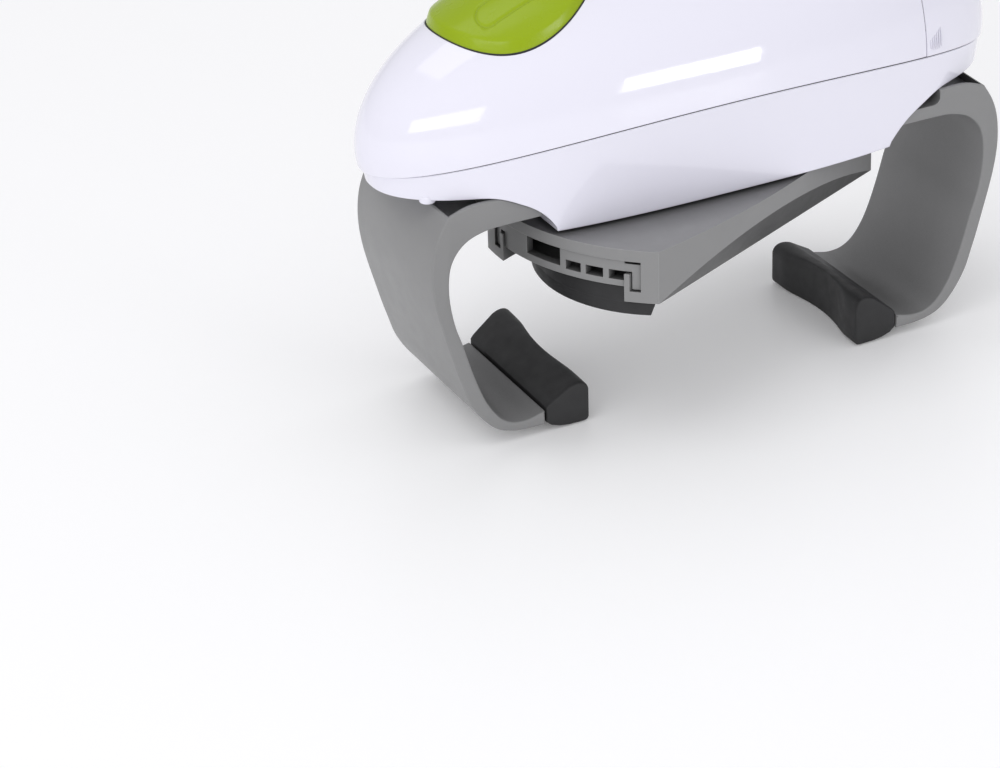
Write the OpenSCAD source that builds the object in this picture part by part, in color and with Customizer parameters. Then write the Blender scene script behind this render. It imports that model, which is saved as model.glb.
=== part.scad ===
// Electric jar opener: a boat-shaped housing with two sliding jar arms below it,
// and a turning lid frame with two sliding lid jaws. One push button starts it.
// Origin: on the turning axis, at the height of the arm pads' undersides.
// +X towards the battery end, +Z up. Shown at the size of an 89 mm jar with an 83 mm lid.

/* [Housing] */
// half length of the upper shell at its widest
shell_a = 95; // [94:0.5:95.5]
// half width of the upper shell
shell_b = 35; // [34.5:0.5:36]
// height of the shell's crown above the ground
crown_z = 128.5; // [128:0.5:130]
// height of the parting line at mid length
seam_mid_z = 88.6; // [88:0.2:89.4]
// how far the parting line drops at the ends
seam_drop = 10.8; // [10:0.2:11.4]
// wall thickness of both shells
wall = 2.2; // [2:0.1:2.4]
// half length of the lower block
block_l = 50.5; // [50:0.5:52]
// underside of the lower block
block_z = 58.9; // [58.8:0.1:59.1]
// underside of the raised ends
end_z = 73.0; // [72.9:0.1:73.4]

/* [Button] */
// half length of the button
button_a = 22.6; // [21:0.2:23]
// half width of the button
button_b = 19.4; // [18:0.1:20]
// how far the button stands above the shell
button_proud = 2.2; // [1.6:0.1:2.6]

/* [Arms] */
// half width of the arms and their pads
arm_w = 22.6; // [22:0.1:22.6]
// radius of the jar the pads touch
jar_r = 44.5; // [43.5:0.1:45]
// teeth of the arm pinion (module 1)
arm_pinion_teeth = 18; // [18:1:18]

/* [Lid frame] */
// turn of the frame about the vertical axis
frame_turn = 24.4; // [20:0.1:30]
// radius of the frame's two ends
frame_r = 56.6; // [56.2:0.1:57.8]
// radius of the lid the jaw pads touch
lid_r = 41.5; // [40.5:0.1:42]
// teeth of the jaw pinion (module 0.8)
jaw_pinion_teeth = 12; // [12:1:12]

/* [Gear train] */
// teeth of the large gears (module 0.8)
big_teeth = 40; // [40:1:40]
// teeth of the small gears (module 0.8)
small_teeth = 12; // [12:1:12]

/* [Hidden] */
$fn = 64;
dome_z0 = 79.5;
dome_h = crown_z - dome_z0;
gm = 0.8;
gear_gap = gm * (big_teeth + small_teeth) / 2;
arm_pitch_r = arm_pinion_teeth / 2;
jaw_pitch_r = gm * jaw_pinion_teeth / 2;
button_x = -50.2;
frame_z0 = 43;
frame_z1 = 57.9;
plate_z = 54.6;
white = [0.93, 0.93, 0.97];
grey = [0.50, 0.50, 0.50];
black = [0.10, 0.10, 0.10];
steel = [0.72, 0.73, 0.75];
nylon = [0.88, 0.86, 0.80];
brass = [0.80, 0.66, 0.34];
green = [0.58, 0.70, 0.10];

// ---------------------------------------------------------------- helpers

// closed solid through rings of points (bottom to top, each counter-clockwise from above)
module loft(rings, cb, ct) {
    n = len(rings[0]);
    m = len(rings);
    pts = concat([for (r = rings) for (p = r) p], [cb, ct]);
    side = [for (j = [0 : m - 2]) for (i = [0 : n - 1])
        each [[j * n + i, (j + 1) * n + i, (j + 1) * n + (i + 1) % n],
              [j * n + i, (j + 1) * n + (i + 1) % n, j * n + (i + 1) % n]]];
    low = [for (i = [0 : n - 1]) [n * m, i, (i + 1) % n]];
    high = [for (i = [0 : n - 1]) [n * m + 1, (m - 1) * n + (i + 1) % n, (m - 1) * n + i]];
    polyhedron(points = pts, faces = concat(side, low, high), convexity = 6);
}

// cubic curve through p0 and p3
function bez(p0, p1, p2, p3, n) = [for (i = [0 : n]) let (t = i / n, u = 1 - t)
    u * u * u * p0 + 3 * u * u * t * p1 + 3 * u * t * t * p2 + t * t * t * p3];

// straight box between two corners
module block(lo, hi) { translate(lo) cube(hi - lo); }

// rotated into the lid frame's own directions
module turned() { rotate([0, 0, frame_turn]) children(); }

// involute angle and radius
function inv_r(rb, t) = rb * sqrt(1 + t * t);
function inv_a(t) = t * 180 / PI - atan(t);

// gear outline: pressure angle 25 degrees, tips 0.8 m, roots 1.1 m
function gear_pts(m, z, slack) =
    let (rp = m * z / 2, rb = rp * cos(25), ra = rp + 0.8 * m, rr = rp - 1.1 * m,
         tp = tan(25), half = 90 / z - (slack / rp) * 90 / PI + inv_a(tp),
         t1 = sqrt(pow(ra / rb, 2) - 1), t0 = sqrt(max(0, pow(max(rr, rb) / rb, 2) - 1)), n = 4)
    [for (k = [0 : z - 1]) let (a = k * 360 / z)
        each concat(
            [[rr * cos(a - half), rr * sin(a - half)]],
            [for (i = [0 : n]) let (t = t0 + (t1 - t0) * i / n, r = inv_r(rb, t), b = a - half + inv_a(t))
                [r * cos(b), r * sin(b)]],
            [for (i = [n : -1 : 0]) let (t = t0 + (t1 - t0) * i / n, r = inv_r(rb, t), b = a + half - inv_a(t))
                [r * cos(b), r * sin(b)]],
            [[rr * cos(a + half), rr * sin(a + half)]])];

module gear(m, z, z0, z1, turn = 0, slack = 0.12) {
    translate([0, 0, z0]) rotate([0, 0, turn]) linear_extrude(z1 - z0) polygon(gear_pts(m, z, slack));
}

// rack teeth pointing to -Y with the pitch line on y = 0; first and last are tooth numbers
module rack_teeth(m, first, last, shift, z0, z1, slack = 0.12) {
    p = PI * m;
    h = p / 4 - slack / 2;
    for (k = [first : last])
        translate([k * p + shift, 0, z0]) linear_extrude(z1 - z0)
            polygon([[-h - 1.1 * m * tan(25), 1.1 * m + 0.02], [h + 1.1 * m * tan(25), 1.1 * m + 0.02],
                     [h - 0.8 * m * tan(25), -0.8 * m], [-h + 0.8 * m * tan(25), -0.8 * m]]);
}

// ---------------------------------------------------------------- housing shapes

function seam_z(x) = seam_mid_z - seam_drop * pow(x / 91, 2);
function dome_top(x, y) = dome_z0 + dome_h * sqrt(max(0, 1 - pow(x / shell_a, 2) - pow(y / shell_b, 2)));
NA = 56;
ND = 8;

function dome_ring(k, off) = [for (i = [0 : NA - 1]) let (th = 360 * i / NA, a = shell_a - off, b = shell_b - off, h = dome_h - off,
    p0 = asin((seam_z(0.984 * a * cos(th)) - dome_z0) / h), p = p0 + (90 - p0) * k / ND,
    tuck = 1 - 0.016 * pow(1 - k / ND, 6))
    [a * cos(p) * cos(th) * tuck, b * cos(p) * sin(th) * tuck, dome_z0 + h * sin(p)]];

function drop_ring(ring, dz) = [for (p = ring) p - [0, 0, dz]];

module dome(off, drop) {
    rings = concat(drop > 0 ? [drop_ring(dome_ring(0, off), drop)] : [], [for (k = [0 : ND - 1]) dome_ring(k, off)]);
    loft(rings, [0, 0, 84.5 - drop], [0, 0, dome_z0 + dome_h - off]);
}

function se(c, n) = sign(c) * pow(abs(c), 2 / n);
function hull_ring(u, off, top_gap) = [for (i = [0 : NA - 1]) let (th = 360 * i / NA,
    a = 92 - off - 4 * u, b = 34 - off - 7.7 * pow(u, 0.85), n = 2.07 + 0.55 * u,
    x = a * se(cos(th), n), y = b * se(sin(th), n), zt = seam_z(x) - top_gap)
    [x, y, zt - (zt - block_z) * u]];

module lower_hull(off, rise) {
    rings = concat([for (u = [1, 0.8, 0.6, 0.4, 0.2, 0]) hull_ring(u, off, 0.5)],
                   rise > 0 ? [drop_ring(hull_ring(0, off, 0.5), -rise)] : []);
    loft(rings, [0, 0, block_z - (rise > 0 ? 1 : 0)], [0, 0, 84.2 + rise]);
}

// space below the raised ends, with its rounded inner corner
module end_cut(g) {
    for (sx = [1, -1]) scale([1, 1, 1]) mirror([sx < 0 ? 1 : 0, 0, 0])
        translate([0, 60, 0]) rotate([90, 0, 0]) linear_extrude(120)
            polygon(concat([[block_l - g, 40]],
                bez([block_l - g, block_z + 0.9 + g / 2], [block_l + 1.8 - g, 62.5 + g / 2], [block_l + 4 - g, 66.3 + g / 2], [block_l + 9.5 - g, 69.2 + g], 7),
                bez([block_l + 9.5 - g, 69.2 + g], [block_l + 13 - g, 71.0 + g], [block_l + 15.5 - g, end_z + g], [block_l + 21.5 - g, end_z + g], 6),
                [[120, end_z + g], [120, 40]]));
}

module button_outline(g, z0, z1) {
    n = 56;
    rings = [for (z = [z0, z1]) [for (i = [0 : n - 1])
        [button_x + (button_a + g) * cos(360 * i / n), (button_b + g) * sin(360 * i / n), z]]];
    loft(rings, [button_x, 0, z0], [button_x, 0, z1]);
}

// ---------------------------------------------------------------- shells

module top_cover() color(white) {
    difference() {
        dome(0, 0);
        dome(wall, 12);
        button_outline(0.45, 95, 135);
        block([60.0, -50, 60], [110, 50, 140]);
    }
    // two screw posts at the button end
    for (sy = [-1, 1]) translate([-74, sy * 11.5, 75.3]) difference() {
        cylinder(r = 2.9, h = 25);
        translate([0, 0, -1]) cylinder(r = 1.3, h = 12);
    }
}

module battery_door() color(white) {
    difference() {
        dome(0, 0);
        dome(wall, 12);
        block([-110, -50, 60], [60.35, 50, 140]);
    }
}

module bottom_cover() color(white) {
    difference() {
        lower_hull(0, 0);
        end_cut(0);
        difference() {
            intersection() {
                lower_hull(wall, 10);
                block([-110, -60, block_z + 2.1], [110, 60, 120]);
            }
            end_cut(2);
        }
        // arm openings in the two end walls
        for (sx = [-1, 1]) translate([sx * 56, 0, 67.9]) cube([24, 2 * arm_w + 0.8, 9.6], center = true);
        // hub hole
        translate([0, 0, 50]) cylinder(r = 13.5, h = 20);
        // screw holes
        for (p = [[-74, -11.5], [-74, 11.5], [86, 0]]) {
            translate([p[0], p[1], 70]) cylinder(r = 1.5, h = 9);
            translate([p[0], p[1], 70]) cylinder(r = 2.8, h = 4.2);
        }
    }
}

// ---------------------------------------------------------------- button group

module start_button() color(green) {
    n = 56;
    // one closed skin: inner ceiling, inner wall, lower rim, outer wall, rounded top edge
    loft(concat([for (q = [0.3, 0.6, 0.92]) button_ring(n, q, button_proud - 2.4, 0)],
                [button_ring(n, 0.92, 0, 105.5), button_ring(n, 1, 0, 105.5)],
                [for (q = [[1, 0.5], [0.985, 1.3], [0.955, 1.85], [0.9, button_proud], [0.6, button_proud], [0.3, button_proud]])
                    button_ring(n, q[0], q[1], 0)]),
         [button_x, 0, dome_top(button_x, 0) + button_proud - 2.4], [button_x, 0, dome_top(button_x, 0) + button_proud]);
    // stem over the switch and two spring pins
    translate([button_x, 0, 110.5]) cylinder(r = 3, h = 11.5);
    for (sy = [-1, 1]) translate([button_x, sy * 11, 113.5]) cylinder(r = 1.5, h = 5.5);
}
function button_ring(n, rho, up, flat) = [for (i = [0 : n - 1])
    let (x = button_x + button_a * rho * cos(360 * (i + 0.5) / n), y = button_b * rho * sin(360 * (i + 0.5) / n))
    [x, y, flat > 0 ? flat : dome_top(x, y) + up]];

// helix of round wire
module coil(r, wire, z0, z1, turns) {
    k = 8;
    n = turns * 14;
    rings = [for (j = [0 : n]) let (a = 360 * turns * j / n, z = z0 + wire + (z1 - z0 - 2 * wire) * j / n)
        [for (i = [0 : k - 1]) let (b = 360 * i / k)
            [(r + wire * cos(b)) * cos(a), (r + wire * cos(b)) * sin(a), z + wire * sin(b)]]];
    pts = [for (q = rings) for (p = q) p];
    polyhedron(points = pts, faces = concat(
        [for (j = [0 : n - 1]) for (i = [0 : k - 1]) each
            [[j * k + i, (j + 1) * k + (i + 1) % k, (j + 1) * k + i],
             [j * k + i, j * k + (i + 1) % k, (j + 1) * k + (i + 1) % k]]],
        [for (i = [1 : k - 2]) [0, i + 1, i]],
        [for (i = [1 : k - 2]) [n * k, n * k + i, n * k + i + 1]]), convexity = 8);
}

module button_springs() color(steel)
    for (sy = [-1, 1]) translate([button_x, sy * 11, 0]) coil(2.3, 0.35, 101.6, 116.2, 6);

module switch_plunger() color([0.75, 0.15, 0.12])
    translate([button_x, 0, 105.2]) cylinder(r = 1.2, h = 5.3);

module micro_switch() color(black) translate([button_x, 0, 0]) difference() {
    union() {
        block([-6.4, -3.2, 102.8], [6.4, 3.2, 109.0]);
        for (x = [-4.8, 0, 4.8]) block([x - 0.5, -0.4, 98.0], [x + 0.5, 0.4, 102.9]);
    }
    translate([0, 0, 103.4]) cylinder(r = 1.25, h = 8);
    for (x = [-4.75, 4.75]) translate([x, 5, 105]) rotate([90, 0, 0]) cylinder(r = 1.0, h = 10);
}

module switch_board() color([0.05, 0.35, 0.15]) difference() {
    block([button_x - 11, -8, 101.6], [button_x + 11, 8, 102.8]);
    for (x = [-4.8, 0, 4.8]) translate([button_x + x, 0, 100]) cylinder(r = 0.8, h = 5);
    for (x = [-9, 9]) translate([button_x + x, 5.5, 100]) cylinder(r = 1.1, h = 5);
}

module switch_bracket() color(white) {
    difference() {
        block([-67.6, -13.6, 99.5], [-38, 13.6, 101.5]);
        block([button_x - 6.5, -3, 99], [button_x + 6.5, 3, 102]);
    }
    for (sy = [-1, 1]) {
        translate([-65.8, sy * 10.5, 75.2]) cylinder(r = 1.8, h = 25);
        translate([-41, sy * 9, 73.1]) cylinder(r = 1.6, h = 27);
    }
}

// ---------------------------------------------------------------- drive

module motor() color(steel) translate([gear_gap, 0, 0]) difference() {
    union() {
        translate([0, 0, 99.4]) cylinder(r = 12, h = 19.6);
        translate([0, 0, 118.9]) cylinder(r = 4, h = 1.2);
        for (sy = [-1, 1]) block([-1.2, sy * 7 - 0.4, 118.9], [1.2, sy * 7 + 0.4, 121.2]);
        translate([0, 0, 98.0]) cylinder(r = 3, h = 1.5);
    }
    translate([0, 0, 90]) cylinder(r = 1.05, h = 20);
}

module motor_shaft() color(steel) translate([gear_gap, 0, 86.5]) cylinder(r = 1.0, h = 23);

module motor_pinion() color(brass) translate([gear_gap, 0, 0]) difference() {
    gear(gm, small_teeth, 86.8, 92.2, 180 / small_teeth);
    translate([0, 0, 80]) cylinder(r = 1.0, h = 20);
}

module reduction_gear_1() color(nylon) difference() {
    union() {
        gear(gm, small_teeth, 81.2, 87.6, 0);
        gear(gm, big_teeth, 87.5, 91.0, 0);
        translate([0, 0, 90.9]) cylinder(r = 3.2, h = 5.8);
    }
    translate([0, 0, 70]) cylinder(r = 1.55, h = 40);
}

module reduction_gear_2() color(nylon) translate([-gear_gap, 0, 0]) difference() {
    union() {
        gear(gm, small_teeth, 73.8, 81.4, 180 / small_teeth);
        gear(gm, big_teeth, 81.3, 85.3, 180 / big_teeth);
        translate([0, 0, 85.2]) cylinder(r = 3.2, h = 11.5);
    }
    translate([0, 0, 70]) cylinder(r = 1.55, h = 40);
}

module spindle_gear() color(nylon) difference() {
    gear(gm, big_teeth, 74.0, 79.5, 0);
    translate([0, 0, 70]) cylinder(r = 5.55, h = 20);
    for (a = [45 : 90 : 359]) rotate([0, 0, a]) translate([10.4, 0, 70]) cylinder(r = 2.4, h = 20);
}

module centre_pin() color(steel) translate([0, 0, 71.5]) cylinder(r = 1.5, h = 27.8);
module gear_axle() color(steel) translate([-gear_gap, 0, 71.6]) cylinder(r = 1.5, h = 27.6);

posts = [[-10, 21.0], [-10, -21.0], [22, 18.0], [22, -18.0]];
module gearbox_base() color(grey) {
    difference() {
        block([-43, -24.2, 71.6], [38, 24.2, 73.1]);
        translate([0, 0, 60]) cylinder(r = 5.75, h = 20);
        translate([-gear_gap, 0, 60]) cylinder(r = 1.5, h = 20);
        for (sx = [-1, 1]) for (sy = [-1, 1]) translate([sx > 0 ? 38 : -43, sy * 24.2, 60]) rotate([0, 0, 45]) cube([12, 12, 40], center = true);
    }
    for (p = posts) translate([p[0], p[1], 73]) cylinder(r = 2.3, h = 24.5);
}

module gearbox_top() color(grey) difference() {
    union() {
        block([-26, -12, 97.5], [36, 12, 99.3]);
        for (p = posts) {
            translate([p[0], p[1], 97.5]) cylinder(r = 3.6, h = 1.8);
            block([p[0] - 3.6, min(0, p[1]), 97.5], [p[0] + 3.6, max(0, p[1]), 99.3]);
        }
        // seat ring of the motor
        translate([gear_gap, 0, 99.2]) difference() {
            cylinder(r = 13.6, h = 3.2);
            translate([0, 0, -1]) cylinder(r = 12.05, h = 6);
        }
    }
    translate([gear_gap, 0, 90]) cylinder(r = 3.05, h = 9.35);
    translate([gear_gap, 0, 98]) cylinder(r = 12.05, h = 1.45);
    translate([0, 0, 90]) cylinder(r = 1.5, h = 20);
    translate([-gear_gap, 0, 90]) cylinder(r = 1.5, h = 20);
    for (p = posts) translate([p[0], p[1], 90]) cylinder(r = 1.1, h = 20);
}

module frame_bearing() color(nylon) difference() {
    union() {
        translate([0, 0, 59.1]) cylinder(r = 13.5, h = 4.0);
        translate([0, 0, 61.0]) cylinder(r = 15.5, h = 1.6);
    }
    translate([0, 0, 50]) cylinder(r = 11.06, h = 20);
}

module spindle() color(steel) difference() {
    union() {
        translate([0, 0, 54.6]) cylinder(r = 5.55, h = 25.6);
        translate([0, 0, 48.6]) cylinder(r = 2.0, h = 6.1);
    }
    translate([0, 0, 71.0]) cylinder(r = 1.55, h = 12);
    translate([0, 0, 40]) cylinder(r = 0.9, h = 14);
}

module arm_pinion() color(brass) difference() {
    union() {
        gear(1, arm_pinion_teeth, 64.0, 67.6, 0);
        translate([0, 0, 67.5]) cylinder(r = 7.4, h = 3.7);
    }
    translate([0, 0, 60]) cylinder(r = 5.62, h = 20);
}

// ---------------------------------------------------------------- arms

// right arm; the left one is the same part turned by 180 degrees
module arm() {
    // bow and bar
    translate([0, arm_w, 0]) rotate([90, 0, 0]) linear_extrude(2 * arm_w)
        polygon(concat(
            [[54, 67.3], [66.2, 67.3], [67, 68.0], [67, 72.1]],
            bez([75.0, 72.1], [81.5, 71.6], [85.4, 65.0], [85.4, 54.0], 12),
            bez([85.4, 54.0], [85.4, 40.0], [77.2, 25.0], [70.0, 10.6], 16),
            bez([70.0, 10.6], [67.0, 5.0], [63.6, 2.9], [58.0, 2.9], 8),
            [[55, 2.9], [55, 6.0]],
            bez([57.0, 6.0], [61.2, 6.0], [64.4, 6.6], [67.0, 10.0], 8),
            bez([67.0, 10.0], [73.2, 22.0], [81.6, 37.0], [81.6, 51.0], 16),
            bez([81.6, 51.0], [81.6, 59.0], [78.5, 63.5], [73.0, 63.5], 10),
            [[54, 63.5]]));
    // tongue inside the pad
    block([48.5, -18, 3.4], [55.2, 18, 5.5]);
    // rack leg and guide leg
    block([-8, -15.5, 63.7], [54.2, -10.1, 67.3]);
    translate([0, -9, 0]) mirror([0, 1, 0]) rack_teeth(1, -2, 7, 0, 63.7, 67.3);
    block([34, 16.0, 63.7], [54.2, arm_w, 67.3]);
}

module right_arm() color(grey) arm();
module left_arm() color(grey) rotate([0, 0, 180]) arm();

module arm_pad() {
    difference() {
        translate([0, arm_w, 0]) rotate([90, 0, 0]) linear_extrude(2 * arm_w)
            polygon(concat([[55, 2.6], [55, 7.3]],
                bez([47.5, 12.2], [45.2, 13.4], [42.2, 13.6], [41.5, 10.2], 6),
                [[41.5, 1.4], [42.6, 0], [50.0, 0]]));
        translate([0, 0, -5]) cylinder(r = jar_r, h = 40, $fn = 128);
        block([48.4, -18.05, 3.35], [56, 18.05, 5.55]);
    }
}
module right_arm_pad() color(black) arm_pad();
module left_arm_pad() color(black) rotate([0, 0, 180]) arm_pad();

// ---------------------------------------------------------------- lid frame

module frame_outline(z0, z1) intersection() {
    translate([0, 0, z0]) cylinder(r = frame_r, h = z1 - z0, $fn = 160);
    translate([0, 241.4, z0]) cylinder(r = 274, h = z1 - z0, $fn = 360);
    translate([0, -241.4, z0]) cylinder(r = 274, h = z1 - z0, $fn = 360);
}

module lid_frame() color(grey) turned() difference() {
    union() {
        frame_outline(plate_z, frame_z1);
        for (sy = [1, -1]) mirror([0, sy < 0 ? 1 : 0, 0]) {
            intersection() { frame_outline(frame_z0, plate_z + 0.1); block([-60, 24.0, 40], [60, 40, 60]); }
            intersection() { frame_outline(frame_z0, frame_z0 + 3); block([-60, 19.9, 40], [60, 24.1, 60]); }
            intersection() { frame_outline(frame_z0 + 2.9, 50.9); block([-60, 19.9, 40], [60, 21.2, 60]); }
        }
        translate([0, 0, frame_z1 - 0.1]) cylinder(r = 11.0, h = 63.2 - frame_z1);
    }
    translate([0, 0, 50]) cylinder(r = 5.55, h = 20);
    // sloping undercut along both sides
    for (sy = [1, -1]) mirror([0, sy < 0 ? 1 : 0, 0])
        translate([-70, 0, 0]) rotate([90, 0, 90]) linear_extrude(140)
            polygon([[28.2, frame_z0 - 0.1], [36, frame_z0 - 0.1], [36, frame_z0 + 17.0], [28.2, frame_z0]]);
}

module jaw_pinion() color(brass) turned() difference() {
    gear(gm, jaw_pinion_teeth, 48.9, 54.2, 0);
    translate([0, 0, 40]) cylinder(r = 2.06, h = 20);
}

module pinion_screw() color(steel) {
    translate([0, 0, 47.4]) cylinder(r = 3.6, h = 1.2);
    translate([0, 0, 48.5]) cylinder(r = 0.9, h = 5.0);
}

function near_s(r, w) = -sqrt(r * r - w * w);

// jaw on the -X side of the frame; the other one is the same part turned by 180 degrees
module jaw() {
    difference() {
        union() {
            // bottom web, top web, outer and inner walls
            intersection() {
                difference() {
                    translate([0, 0, 47]) cylinder(r = 55.9, h = 7.3, $fn = 128);
                    translate([0, 0, 48.3]) difference() {
                        cylinder(r = 53.4, h = 4.7, $fn = 128);
                        translate([0, 0, -1]) cylinder(r = 45.6, h = 9, $fn = 128);
                    }
                    translate([0, 0, 40]) cylinder(r = 43.0, h = 30, $fn = 128);
                }
                block([-60, -19.6, 40], [-20, 19.6, 60]);
            }
            // hooks over the rails
            for (sy = [1, -1]) mirror([0, sy < 0 ? 1 : 0, 0]) intersection() {
                union() {
                    block([-54.5, 19.0, 51.4], [-36, 23.7, 53.6]);
                    block([-54.5, 21.5, 46.4], [-36, 23.7, 51.5]);
                }
                difference() {
                    translate([0, 0, 40]) cylinder(r = 55.9, h = 30, $fn = 128);
                    translate([0, 0, 39]) cylinder(r = 43.0, h = 32, $fn = 128);
                }
            }
            // side walls
            for (sy = [1, -1]) mirror([0, sy < 0 ? 1 : 0, 0]) intersection() {
                block([-60, 17.6, 47], [-30, 19.6, 54.3]);
                difference() {
                    translate([0, 0, 40]) cylinder(r = 55.9, h = 30, $fn = 128);
                    translate([0, 0, 39]) cylinder(r = 43.0, h = 32, $fn = 128);
                }
            }
            // rack leg
            block([-44, -9.6, 49.4], [8, -5.66, 53.2]);
            translate([0, -4.8, 0]) mirror([0, 1, 0]) rack_teeth(gm, -11, 2, PI * gm / 2, 49.4, 53.2);
        }
        // window the other jaw's leg passes through
        block([-60, -1.4, 49.1], [-40, 10.3, 55]);
        // three small windows
        block([-60, -7.7, 48.7], [-52, -3.1, 51.4]);
        block([-60, -14.0, 48.7], [-50, -9.1, 51.4]);
        block([-60, -20.0, 48.7], [-49, -15.5, 51.4]);
    }
}
module near_jaw() color(grey) turned() jaw();
module far_jaw() color(grey) turned() rotate([0, 0, 180]) jaw();

module lid_pad() {
    intersection() {
        difference() {
            translate([-19, -7, 38.4]) cylinder(r = 35, h = 8.6, $fn = 128);
            translate([0, 0, 30]) cylinder(r = lid_r, h = 30, $fn = 128);
            translate([0, 0, 42.65]) cylinder(r = lid_r + 1.2, h = 30, $fn = 128);
        }
        union() {
            block([-60, -26.4, 38.4], [-20, 23.0, 42.65]);
            block([-60, -19.5, 42.6], [-20, 19.5, 47.0]);
        }
        // leaning end face beside the lid
        translate([-48.6, -26.9, 42.6]) rotate([0, 0, 36.87]) rotate([19.4, 0, 0]) block([-30, 0, -20], [60, 80, 20]);
    }
}
module near_lid_pad() color(black) turned() lid_pad();
module far_lid_pad() color(black) turned() rotate([0, 0, 180]) lid_pad();

// ---------------------------------------------------------------- batteries

module cell() rotate([0, 90, 0]) {
    cylinder(r = 7.1, h = 49.2);
    translate([0, 0, 49.1]) cylinder(r = 2.7, h = 1.3);
}
module batteries() color([0.15, 0.35, 0.25]) {
    translate([29.4, 7.5, 88.2]) cell();
    translate([79.8, -7.5, 88.2]) rotate([0, 0, 180]) cell();
}

module battery_tray() color(black) difference() {
    union() {
        translate([0, 0, 78.6]) linear_extrude(11.4)
            polygon([[27.6, -15.6], [76.5, -15.6], [82.6, -11.9], [82.6, 11.9], [76.5, 15.6], [27.6, 15.6]]);
        block([33, -8, 73.1], [36, 8, 78.7]);
        translate([86, 0, 75.1]) cylinder(r = 2.6, h = 7.0);
        block([82.4, -2.6, 78.6], [86, 2.6, 82.1]);
    }
    for (sy = [-1, 1]) translate([29.2, sy * 7.5, 88.2]) rotate([0, 90, 0]) cylinder(r = 7.5, h = 53.4 - 1.6);
    block([29.2, -14.9, 88.2], [76.5, 14.9, 95]);
    block([76.4, -13.0, 88.2], [81.2, 13.0, 95]);
    block([28.2, -13, 82], [29.3, 13, 95]);
    block([81.1, -13, 82], [82.0, 13, 95]);
    translate([86, 0, 70]) cylinder(r = 1.3, h = 11);
}

module battery_contacts() color(steel) {
    for (sy = [-1, 1]) {
        block([28.3, sy * 7.5 - 4.5, 82.4], [28.8, sy * 7.5 + 4.5, 92.5]);
        block([81.3, sy * 7.5 - 4.2, 82.4], [81.8, sy * 7.5 + 4.2, 92.0]);
    }
}

module cover_screws() color(steel)
    for (p = [[-74, -11.5], [-74, 11.5], [86, 0]]) translate([p[0], p[1], 0]) {
        difference() {
            translate([0, 0, 73.0]) cylinder(r = 2.6, h = 1.2);
            translate([0, 0, 72.9]) cube([0.7, 4, 1.2], center = true);
            translate([0, 0, 72.9]) cube([4, 0.7, 1.2], center = true);
        }
        translate([0, 0, 74.1]) cylinder(r = 1.3, h = 6.5);
    }

// ---------------------------------------------------------------- parts

top_cover();
bottom_cover();
battery_door();
start_button();
button_springs();
switch_plunger();
micro_switch();
switch_board();
switch_bracket();
motor();
motor_shaft();
motor_pinion();
reduction_gear_1();
reduction_gear_2();
spindle_gear();
centre_pin();
gear_axle();
gearbox_base();
gearbox_top();
frame_bearing();
spindle();
arm_pinion();
left_arm();
right_arm();
left_arm_pad();
right_arm_pad();
lid_frame();
jaw_pinion();
pinion_screw();
near_jaw();
far_jaw();
near_lid_pad();
far_lid_pad();
batteries();
battery_tray();
battery_contacts();
cover_screws();
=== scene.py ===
# Looks of the electric jar opener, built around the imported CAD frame.
# Lengths are written in millimetres and scaled to metres when a mesh is made.
import math

import bmesh
import bpy
from mathutils import Matrix, Vector
from mathutils.geometry import tessellate_polygon


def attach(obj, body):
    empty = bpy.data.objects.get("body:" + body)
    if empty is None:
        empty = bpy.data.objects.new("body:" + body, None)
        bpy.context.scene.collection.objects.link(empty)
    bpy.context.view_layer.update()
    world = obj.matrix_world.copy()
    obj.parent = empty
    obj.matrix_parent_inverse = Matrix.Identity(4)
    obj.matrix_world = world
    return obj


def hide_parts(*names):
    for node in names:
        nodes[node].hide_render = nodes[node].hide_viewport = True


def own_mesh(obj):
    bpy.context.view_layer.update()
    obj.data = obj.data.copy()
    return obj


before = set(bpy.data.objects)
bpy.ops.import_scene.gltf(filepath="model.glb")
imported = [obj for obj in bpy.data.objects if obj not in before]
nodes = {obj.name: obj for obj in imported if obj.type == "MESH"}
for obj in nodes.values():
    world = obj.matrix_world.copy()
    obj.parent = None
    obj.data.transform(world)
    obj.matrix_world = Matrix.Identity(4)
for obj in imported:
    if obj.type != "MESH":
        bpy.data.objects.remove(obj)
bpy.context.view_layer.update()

scene = bpy.context.scene
MM = 0.001
TURN = math.radians(24.4)

# ------------------------------------------------------------------ helpers


def make(name, verts, faces):
    me = bpy.data.meshes.new(name)
    me.from_pydata([(v[0] * MM, v[1] * MM, v[2] * MM) for v in verts], [], faces)
    me.validate()
    me.update()
    ob = bpy.data.objects.new(name, me)
    scene.collection.objects.link(ob)
    return ob


def outward(ob):
    bm = bmesh.new()
    bm.from_mesh(ob.data)
    bmesh.ops.remove_doubles(bm, verts=bm.verts, dist=1e-7)
    bmesh.ops.recalc_face_normals(bm, faces=bm.faces)
    bm.to_mesh(ob.data)
    bm.free()


def shade(ob, angle=32):
    me = ob.data
    me.shade_smooth()
    me.set_sharp_from_angle(angle=math.radians(angle))


def settle(ob, angle=32):
    """Keeps the modifiers' result as the mesh itself."""
    dg = bpy.context.evaluated_depsgraph_get()
    dg.update()
    new = bpy.data.meshes.new_from_object(ob.evaluated_get(dg))
    old = ob.data
    new.name = ob.name
    ob.modifiers.clear()
    ob.data = new
    bpy.data.meshes.remove(old)
    shade(ob, angle)


def solidify(ob, mm, offset=-1.0):
    m = ob.modifiers.new("wall", "SOLIDIFY")
    m.thickness = mm * MM
    m.offset = offset
    m.use_even_offset = True
    m.use_quality_normals = True
    return m


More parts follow.
